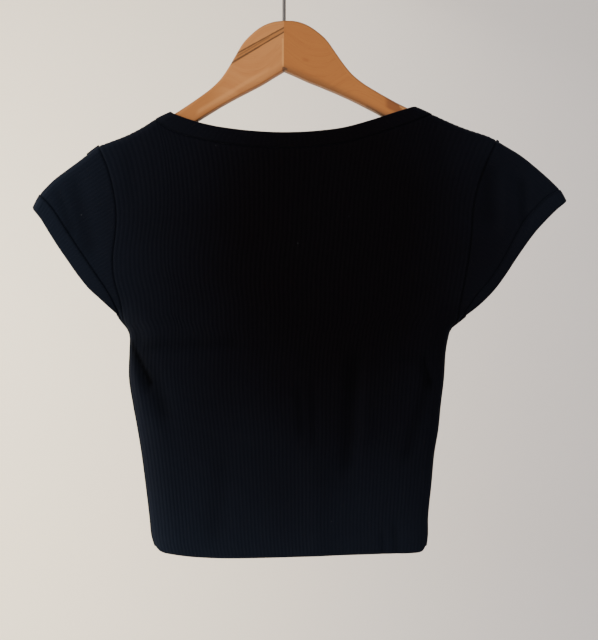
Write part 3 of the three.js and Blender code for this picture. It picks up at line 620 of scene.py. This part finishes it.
# a wood's strokes: from x, z to x, z, half width at each end, soft rim, depth and colour
leftWoodLook = {
    "seed": 1.7, "pale": (0.43, 0.168, 0.043), "deep": (0.395, 0.146, 0.0355), "line": (0.31, 0.10, 0.022),
    "pore": (0.14, 0.045, 0.014), "under": (0.16, 0.06, 0.02), "roughness": 0.5, "coat": 0.03, "specular": 0.3,
    "strokes": [
        (-2.0, -97, -0.3, -97, 13.0, 13.0, 0.8, 0.5, (0.60, 0.27, 0.075)),
        (1, -74.8, -52, -105.6, 2.0, 4.2, 0.5, 0.8, (0.28, 0.10, 0.02)),
        (1, -72.5, -52, -101.6, 0.5, 0.5, 0.6, 0.9, darkLine),
        (1, -76.8, -58, -111.6, 0.45, 0.7, 0.6, 0.95, darkLine),
        (-14, -82.4, -46, -101.2, 0.25, 0.35, 0.6, 0.5, darkLine),
        (-64, -118, -116, -158, 30.0, 30.0, 18.0, 0.85, (0.31, 0.105, 0.019)),
        (-14, -112.6, -84, -155.2, 0.2, 0.9, 3.0, 0.3, (0.58, 0.26, 0.08)),
        # painted shade of the notch at the foot of the joint
        (-1.8, -113.2, 0.4, -112.6, 1.2, 1.7, 0.6, 0.9, (0.06, 0.024, 0.01)),
    ],
}
rightWoodLook = {
    "seed": 5.3, "pale": (0.335, 0.112, 0.0185), "deep": (0.31, 0.10, 0.0165), "line": (0.225, 0.064, 0.009),
    "pore": (0.11, 0.03, 0.007), "under": (0.09, 0.036, 0.012), "roughness": 0.5, "coat": 0.03, "specular": 0.3,
    "strokes": [
        (99, -142, 114, -149, 7.0, 7.0, 3.5, 0.9, (0.175, 0.050, 0.008)),
        (111, -143.4, 126, -154, 0.5, 0.6, 0.8, 0.7, (0.55, 0.25, 0.07)),
        (112, -149, 124, -157.6, 0.4, 0.5, 0.8, 0.6, (0.55, 0.25, 0.07)),
        # painted shadow of the wood's underside by the neckline
        (80, -151, 100, -161, 2.4, 1.8, 1.6, 0.7, (0.10, 0.036, 0.01)),
        (18, -103.6, 24, -105.4, 1.0, 1.0, 1.6, 0.4, (0.22, 0.06, 0.01)),
        # painted shade of the notch at the foot of the joint
        (-0.4, -112.8, 3.4, -113.6, 1.6, 0.6, 0.6, 0.9, (0.05, 0.02, 0.008)),
    ],
}
steelLook = {"dark": (0.068, 0.060, 0.054), "light": (0.12, 0.108, 0.10), "roughness": 0.36, "mottle": 420,
             "drawn": (2400, 2400, 90)}  # drawn out along the stem

knit = knitMaterial("ribKnit", knitLook)
bandKnit = knitMaterial("ribBand", bandLook)
leftWood = woodMaterial("paleWood", leftWoodLook)
rightWood = woodMaterial("warmWood", rightWoodLook)
steel = steelMaterial("plainSteel", steelLook)
print("materials made")


def dress(piece, node):
    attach(piece, "root")
    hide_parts(node)
    print("made", piece.name, len(piece.data.polygons), "faces")


panel = {
    "gap": 0.06,  # half the gap left along the side seams
    "seamGap": 0.12,
    "neckFrom": 23 / 156, "neckTo": 131 / 156,
    "hemRows": 5, "sideRows": 40, "armRows": 38, "turnRows": 10,
    "hemShare": 0.014, "armEase": 1.05,  # rows are closer together at the hem and just over the armpit
    "flat": (0.392, 0.438), "area": 0.131,
}


def panelTop(s):
    below = neckSeamLine((s - panel["neckFrom"]) / (panel["neckTo"] - panel["neckFrom"]))
    below = below + np.array([0, panel["seamGap"]])
    leftPart = left["shoulder"](1 - s / panel["neckFrom"])
    rightPart = right["shoulder"]((s - panel["neckTo"]) / (1 - panel["neckTo"]))
    s2 = s[:, None]
    return np.where(s2 < panel["neckFrom"], leftPart, np.where(s2 > panel["neckTo"], rightPart, below))


def panelSide(side):
    share = cloth["armpitShare"]

    def line(v):
        arm = side["armhole"]((v - share) / (1 - share)) - np.array([side["outward"] * panel["seamGap"], 0])
        return np.where(v[:, None] <= share, side["seam"](1 - v / share), arm)

    return line


def panelShares():
    ribs, per = cloth["panelRibs"], cloth["perRib"]
    even = np.arange(per, ribs * per - per + 1) / (ribs * per)
    edge = np.linspace(0, 1, 13)[:-1] ** 2 / ribs
    across = np.concatenate([edge, even, 1 - edge[::-1]])
    share = cloth["armpitShare"]
    turn = np.radians(np.linspace(90, 0, panel["turnRows"]))
    over = 1 - cloth["overArm"] * (1 - np.cos(turn)) / cloth["armholeLength"] * (1 - share)
    up = np.concatenate([
        np.linspace(0, panel["hemShare"], panel["hemRows"], endpoint=False),
        np.linspace(panel["hemShare"], share, panel["sideRows"], endpoint=False),
        share + (over[0] - share) * np.linspace(0, 1, panel["armRows"], endpoint=False) ** panel["armEase"],
        over,
    ])
    return across, up


def makePanel(name, node, face):
    s, v = panelShares()
    plan = coons(hem, panelTop, panelSide(left), panelSide(right), s, v)
    lines = [side["armhole"](np.linspace(0, 1, 41)) for side in (left, right)]
    lines.append(neckSeamLine(np.linspace(0, 1, 61)))
    phase = s * cloth["panelRibs"]
    profile = np.broadcast_to(ribProfile(phase)[None, :], plan.shape[:2])
    outer, shade = clothPoints(plan, face, panel["gap"], cloth["ribHeight"] * profile, lines)
    inner = clothPoints(plan, face, panel["gap"], -cloth["wall"] + cloth["innerRib"] * profile)[0]
    plain = clothPoints(plan[::2, ::6], face, panel["gap"], 0.0)[0]
    print(name, "flat area", round(areaOf(plain), 4))
    piece = clothShell(name, outer, inner, shade, phase, lengthDown(outer), False, knit)
    dress(piece, node)


# Sleeves, cuffs and neckband are rings that go up the front, over the fold and down the back
sleeve = {"rows": 40, "rowEase": 0.45, "ribStretch": 1.06, "seamGap": 0.12, "turn": 6.0,
          "leftFlat": (0.345, 0.072), "leftArea": 0.0125, "rightFlat": (0.36, 0.078), "rightArea": 0.0142}
cuff = {"rows": 12, "seamGap": 0.15, "proud": 0.62, "ribHeight": 0.16, "width": 11.5,
        "leftFlat": (0.30, 0.0165), "leftArea": 0.0037, "rightFlat": (0.31, 0.0165), "rightArea": 0.0035}
neckband = {"rows": 12, "columns": 108, "seamGap": 0.2, "proud": 0.62, "ribHeight": 0.15, "width": 13.5,
            "flat": (0.56, 0.0162), "area": 0.0077}


def ringShares():
    # place along half the ring in sleeve columns, two for each rib: closer together at the armpit
    total = 2.0 * cloth["sleeveRibs"]
    step = 2 / cloth["perRib"]
    place = np.concatenate([np.linspace(0, 1, 9)[:-1] ** 2, np.arange(1, total + step / 2, step)])
    straight = total - sleeve["turn"]
    angle = np.pi / 2 * (1 - np.clip((place - straight) / sleeve["turn"], 0, 1))
    atTurn = 1 - cloth["overArm"] * (1 - np.cos(angle)) / cloth["armholeLength"]
    share = np.where(place < straight, atTurn * place / straight, atTurn)
    return place, share


def joinHalves(front, back):
    # front and back joined into one ring; the back leaves out its first and last columns
    return np.concatenate([front, back[:, -2:0:-1]], axis=1)


def ringCloth(plan, place, outerHeight, innerHeight, lines=()):
    front, frontShade = clothPoints(plan, -1, 0.0, outerHeight, lines)
    back, backShade = clothPoints(plan, 1, 0.0, outerHeight, lines)
    inner = joinHalves(clothPoints(plan, -1, 0.0, innerHeight)[0], clothPoints(plan, 1, 0.0, innerHeight)[0])
    ribs = np.concatenate([place, 2 * place[-1] - place[-2:0:-1]]) / 2
    return joinHalves(front, back), inner, joinHalves(frontShade, backShade), ribs


def makeSleeve(name, node, side):
    place, share = ringShares()
    rows = np.linspace(0, 1, sleeve["rows"])
    rows = rows - sleeve["rowEase"] * np.sin(2 * np.pi * rows) / (2 * np.pi)  # closer together near both seams
    shift = np.array([side["outward"] * sleeve["seamGap"], 0])

    def planOf(ring):
        start = lambda v: side["armhole"](v) + shift
        end = lambda v: side["cuffSeam"](1 - v)
        low = lambda s: (start(np.array([0.0])) * (1 - s[:, None]) + end(np.array([0.0])) * s[:, None])
        top = lambda s: side["sleeveTop"](s) + shift * (1 - s[:, None])
        return coons(low, top, start, end, rows, ring).transpose(1, 0, 2)

    lines = [side["armhole"](np.linspace(0, 1, 41)), side["cuffSeam"](np.linspace(0, 1, 41))]
    plan = planOf(share)
    profile = np.broadcast_to(ribProfile(place / 2)[None, :], plan.shape[:2])
    outer, inner, shade, u = ringCloth(plan, place, cloth["sleeveRibHeight"] * profile,
                                       -cloth["wall"] + cloth["innerRib"] * profile, lines)
    print(name, "flat area", round(areaOf(outer) / sleeve["ribStretch"], 4))
    piece = clothShell(name, outer, inner, shade, u, lengthDown(outer), True, knit)
    dress(piece, node)


def bandRows(seam, edge, count, gap):
    # rows from just off the seam to the free edge, straight across the band
    away = edge - seam
    length = np.maximum(np.linalg.norm(away, axis=-1, keepdims=True), 1e-6)
    start = seam + away / length * gap
    share = np.linspace(0, 1, count)[:, None, None]
    return start[None] * (1 - share) + edge[None] * share


def bandProud(count, proud):
    # a soft roll: lower at the seam, full over the middle, turned in a little at the folded edge
    share = np.linspace(0, 1, count)
    return proud * np.clip(np.sin(np.pi * (0.16 + 0.72 * share)) ** 0.6, 0, 1)


def bandCloth(plan, place, look):
    # the band stands proud of the cloth, with painted shade darkest where it is sewn on
    rise = bandProud(len(plan), look["proud"])[:, None] + look["ribHeight"] * ribProfile(place / 2)[None, :]
    outer, inner, shade, ribs = ringCloth(plan, place, rise, -cloth["wall"] + 0 * rise)
    fromSeam = np.linspace(0, look["width"], len(plan))[:, None]
    shade = np.maximum(shade, cloth["seamShade"] * np.exp(-((fromSeam / cloth["seamWidth"]) ** 2)))
    return outer, inner, shade, ribs


def makeCuff(name, node, side):
    place, share = ringShares()
    plan = bandRows(side["cuffSeam"](1 - share), side["cuffEdge"](1 - share), cuff["rows"], cuff["seamGap"])
    outer, inner, shade, u = bandCloth(plan, place, cuff)
    print(name, "flat area", round(areaOf(outer), 4))
    piece = clothShell(name, outer, inner, shade, u, lengthDown(outer), True, bandKnit)
    dress(piece, node)


def makeNeckband(name, node):
    step = 2 / cloth["perRib"]
    columns = neckband["columns"]
    edge = np.linspace(0, 1, 7)[:-1] ** 1.5
    place = np.concatenate([edge, np.arange(1, columns - 1 + step / 2, step), columns - edge[::-1]])
    share = place / columns
    plan = bandRows(neckSeamLine(share), neckEdgeLine(share), neckband["rows"], neckband["seamGap"])
    outer, inner, shade, u = bandCloth(plan, place, neckband)
    print(name, "flat area", round(areaOf(outer), 4))
    piece = clothShell(name, outer, inner, shade, u, lengthDown(outer), True, bandKnit)
    dress(piece, node)


wood = {
    "tilt": 2.3, "lowerRound": 1.8, "joint": 0.02, "stations": 150,
    "upright": 30.0,  # the tilt is lost over this length towards the joint, which stands upright
    "topRound": 3.0, "underCloth": (86.0, 106.0),  # rounder over the top where the cloth lies on it
    "underWidth": {"woodLeft": 2.6, "woodRight": 4.0}, "underShade": {"woodLeft": 0.5, "woodRight": 0.7},
    "crownWidth": 0.9, "crownShade": 0.8, "crownPoints": 15, "sidePoints": 8, "cornerPoints": 7, "sharp": 50.0,
    "out": [0, 11, 22, 32, 41, 48.5, 55.5, 63, 72, 84, 99, 120, 145, 168, 190, 206, 216, 221],
    "top": [-1.4, -0.4, 3.6, 10.6, 19.5, 31, 41.9, 52, 60.5, 69, 78, 89.7, 103.4, 113.4, 122.4, 132.4, 140.8, 146.4],
    "bottom": [47.2, 52.8, 58.6, 63.2, 67.4, 70.9, 74.4, 78.2, 83.2, 90, 98.6, 108.6, 120.6, 130, 138.6, 147.4,
               153.4, 155],
    "half": [6] * 16 + [5.4, 3.6],
}
hook = {"wire": 3.4, "inside": 17.5, "tip": 205.0, "neck": 58.0, "bend": 10.0, "seat": 16.0, "around": 24}


def smoothColumn(at, key, value):
    # a table's column read smoothly against another: cubic steps whose slopes are the table's mean slopes
    key, value = np.array(key, float), np.array(value, float)
    slope = np.gradient(value, key)
    k = np.clip(np.searchsorted(key, at, side="right") - 1, 0, len(key) - 2)
    span = key[k + 1] - key[k]
    t = (at - key[k]) / span
    return (value[k] * (2 * t**3 - 3 * t**2 + 1) + slope[k] * span * (t**3 - 2 * t**2 + t)
            + value[k + 1] * (3 * t**2 - 2 * t**3) + slope[k + 1] * span * (t**3 - t**2))


def closedTube(name, points, flat, shade, material):
    # rings of points joined one after the other, with a fan of triangles to the middle of each end ring
    stations, count = points.shape[:2]
    ids = np.arange(stations * count).reshape(stations, count)
    beside = np.roll(ids, -1, axis=1)
    quads = np.stack([ids[:-1], beside[:-1], beside[1:], ids[1:]], -1).reshape(-1, 4)
    triangles = np.concatenate([
        np.stack([np.full(count, ids.size), beside[0], ids[0]], -1),
        np.stack([np.full(count, ids.size + 1), ids[-1], beside[-1]], -1),
    ])
    centres = np.stack([points[0].mean(0), points[-1].mean(0)])
    uv = np.concatenate([flat.reshape(-1, 2), [[0, 0], [0, 0]]])
    return makeObject(name, np.concatenate([points.reshape(-1, 3), centres]), quads, triangles, uv,
                      np.append(shade, [0, 0]), material)


def makeArm(name, node, outward, material):
    # a loft: at each place out along the arm, round over the top, straight sides, round lower corners
    at = np.concatenate([[0.0], np.linspace(1.5, wood["out"][-1], wood["stations"])])
    top, bottom, half = (smoothColumn(at, wood["out"], wood[key])[:, None] for key in ("top", "bottom", "half"))
    bare, hidden = wood["underCloth"]
    cover = np.clip((at[:, None] - bare) / (hidden - bare), 0, 1)
    topRound = np.minimum(wood["topRound"] + (half - wood["topRound"]) * cover, (bottom - top) / 2)
    low = np.minimum(np.minimum(wood["lowerRound"], half), (bottom - top) / 2)
    crown = np.radians(np.linspace(180, 0, wood["crownPoints"]))[None, :]
    corner = np.radians(np.linspace(0, 90, wood["cornerPoints"]))[None, :]
    sides = np.linspace(0.12, 0.88, wood["sidePoints"])[None, :]
    sideDrop = (top + topRound) * (1 - sides) + (bottom - low) * sides
    sign = np.sign(np.round(np.cos(crown), 6))
    y = np.concatenate([sign * (half - topRound) + topRound * np.cos(crown), half + 0 * sides,
                        half - low + low * np.cos(corner), -(half - low + low * np.cos(corner[:, ::-1])),
                        -half + 0 * sides], axis=1)
    drop = np.concatenate([top + topRound * (1 - np.sin(crown)), sideDrop, bottom - low + low * np.sin(corner),
                           bottom - low + low * np.sin(corner[:, ::-1]), sideDrop[:, ::-1]], axis=1)
    x = outward * (at[:, None] + wood["joint"]) + 0 * y
    # painted shade: darker along the lower edge and in a thin line over the crown
    shade = (wood["underShade"][name] * np.exp(-(((bottom - drop) / wood["underWidth"][name]) ** 2))
             + wood["crownShade"] * np.exp(-(((drop - top) / wood["crownWidth"]) ** 2)))
    tilt = math.radians(wood["tilt"])
    lean = np.clip(at[:, None] / wood["upright"], 0, 1) ** 0.8
    points = np.stack([x * math.cos(tilt) + drop * math.sin(tilt) * lean, y,
                       x * math.sin(tilt) - drop * math.cos(tilt) - hookRise], -1) * mm
    girth = np.linalg.norm(np.diff(points, axis=1), axis=-1).cumsum(1)
    across = np.concatenate([np.zeros((len(at), 1)), girth], axis=1)
    along = np.broadcast_to(at[:, None] * mm, across.shape)
    piece = closedTube(name, points, np.stack([along, across], -1), shade, material)
    piece.data.set_sharp_from_angle(angle=math.radians(wood["sharp"]))
    dress(piece, node)


def makeHook(name, node):
    # a round wire carried along stem, bend, lean and most of a circle, in the plane of the hanger
    radius = hook["inside"] + hook["wire"] / 2
    turn = math.radians(hook["neck"])
    startX, startZ = radius * math.cos(turn), -hook["inside"] - radius * math.sin(turn)
    bendX = hook["bend"] * (1 - math.cos(turn))
    bendZ = startZ - (startX - bendX) / math.tan(turn)
    bottom = bendZ - hook["bend"] * math.sin(turn)
    foot = -hookRise - hook["seat"]
    stem = np.stack([np.zeros(12), np.linspace(foot, bottom, 12)], -1)
    angle = np.linspace(0, turn, 14)[1:]
    bend = np.stack([hook["bend"] * (1 - np.cos(angle)), bottom + hook["bend"] * np.sin(angle)], -1)
    lean = np.linspace([bendX, bendZ], [startX, startZ], 8)[1:-1]
    sweep = np.linspace(-turn, math.radians(hook["tip"]), 96)
    circle = np.stack([radius * np.cos(sweep), -hook["inside"] + radius * np.sin(sweep)], -1)
    path = np.concatenate([stem, bend, lean, circle])
    tangent = np.gradient(path, axis=0)
    tangent /= np.linalg.norm(tangent, axis=1, keepdims=True)
    cap = np.radians(np.linspace(0, 84, 7))[1:]
    tip = path[-1] + tangent[-1] * (hook["wire"] / 2) * np.sin(cap)[:, None]
    path = np.concatenate([path, tip])
    tangent = np.concatenate([tangent, np.repeat(tangent[-1:], len(cap), 0)])
    size = np.concatenate([np.ones(len(path) - len(cap)), np.cos(cap)]) * hook["wire"] / 2
    around = np.linspace(0, 2 * np.pi, hook["around"], endpoint=False)[None, :]
    sideways = np.stack([-tangent[:, 1], tangent[:, 0]], -1)
    x = path[:, :1] + sideways[:, :1] * size[:, None] * np.cos(around)
    z = path[:, 1:] + sideways[:, 1:] * size[:, None] * np.cos(around)
    y = size[:, None] * np.sin(around)
    points = np.stack([x, y, z], -1) * mm
    piece = closedTube(name, points, np.zeros(x.shape + (2,)), np.zeros(x.shape), steel)
    dress(piece, node)


makeArm("woodLeft", "hanger_left", -1, leftWood)
makeArm("woodRight", "hanger_right", 1, rightWood)
makeHook("wireHook", "hanger_hook")
makePanel("frontCloth", "front_panel", -1)
makePanel("backCloth", "back_panel", 1)
makeSleeve("sleeveClothLeft", "sleeve_left", left)
makeSleeve("sleeveClothRight", "sleeve_right", right)
makeCuff("cuffClothLeft", "cuff_left", left)
makeCuff("cuffClothRight", "cuff_right", right)
makeNeckband("neckbandCloth", "neckband")

studio = {
    "floor": -1.5, "wall": 1.7, "top": 4.0, "reach": 6.0, "curve": 0.6, "fade": 0.9,
    "colour": (0.87, 0.765, 0.60), "shadeColour": (0.60, 0.555, 0.53),
    "worldColour": (0.97, 0.97, 1.0), "world": 0.55,
}


def makeStudio():
    # floor and backdrop in one sheet: flat, a quarter circle, then upright
    angle = np.linspace(0, np.pi / 2, 13)
    curve = studio["curve"]
    profile = np.concatenate([
        [[-studio["reach"], studio["floor"]]],
        np.stack([studio["wall"] - curve + curve * np.sin(angle), studio["floor"] + curve * (1 - np.cos(angle))], -1),
        [[studio["wall"], studio["top"]]],
    ])
    points = np.concatenate([np.insert(profile, 0, -studio["reach"], axis=1),
                             np.insert(profile, 0, studio["reach"], axis=1)])
    count = len(profile)
    first = np.arange(count - 1)
    quads = np.stack([first, first + count, first + count + 1, first + 1], -1)
    mesh = bpy.data.meshes.new("studioSheet")
    mesh.from_pydata(points.tolist(), [], quads.tolist())
    mesh.polygons.foreach_set("use_smooth", np.ones(len(quads), bool))
    material, tree, shader = startMaterial("paleStudio")
    split = tree.nodes.new("ShaderNodeSeparateXYZ")
    tree.links.new(objectPlace(tree), split.inputs[0])
    # painted shade: the backdrop darker towards the right
    across = ramp(tree, split.outputs[0], -studio["fade"], studio["fade"])
    tree.links.new(mixColour(tree, across, studio["colour"], studio["shadeColour"]), shader.inputs["Base Color"])
    shader.inputs["Roughness"].default_value = 0.95
    mesh.materials.append(material)
    sheet = bpy.data.objects.new("studioSheet", mesh)
    scene.collection.objects.link(sheet)


def addLamp(name, place, aim, size, power, colour):
    data = bpy.data.lights.new(name, "AREA")
    data.shape = "RECTANGLE"
    data.size, data.size_y = size
    data.energy = power
    data.color = colour
    lamp = bpy.data.objects.new(name, data)
    lamp.location = place
    way = np.array(aim, float) - np.array(place, float)
    lamp.rotation_euler = (math.acos(-way[2] / np.linalg.norm(way)), 0,
                           math.atan2(way[1], way[0]) - math.pi / 2)
    scene.collection.objects.link(lamp)


makeStudio()
addLamp("windowLamp", (-1.9, -1.3, 0.1), (0.0, 0.0, -0.35), (1.0, 1.6), 60, (0.92, 0.96, 1.0))
addLamp("fillLamp", (1.6, -1.9, 0.5), (0.0, 0.0, -0.35), (1.3, 1.3), 32, (0.95, 0.97, 1.0))
addLamp("wallLamp", (-1.5, 0.1, -0.3), (-0.8, 1.7, -0.7), (1.2, 1.2), 58, (1.0, 0.96, 0.9))
addLamp("backLamp", (0.5, 1.2, 0.9), (0.0, 0.0, -0.35), (1.0, 0.8), 8, (1.0, 0.98, 0.95))

world = bpy.data.worlds.new("softRoom")
world.use_nodes = True
background = next(node for node in world.node_tree.nodes if node.type == "BACKGROUND")
background.inputs["Color"].default_value = (*studio["worldColour"], 1)
background.inputs["Strength"].default_value = studio["world"]
scene.world = world

view = {"x": 0.01455, "z": -0.3565, "plane": -0.005, "distance": 1.05, "height": 0.6208}
cameraData = bpy.data.cameras.new("camera")
cameraData.sensor_width = 36
cameraData.lens = 36 * view["distance"] / view["height"]
camera = bpy.data.objects.new("camera", cameraData)
camera.location = (view["x"], view["plane"] - view["distance"], view["z"])
camera.rotation_euler = (math.pi / 2, 0, 0)
scene.collection.objects.link(camera)
scene.camera = camera
print("studio made")
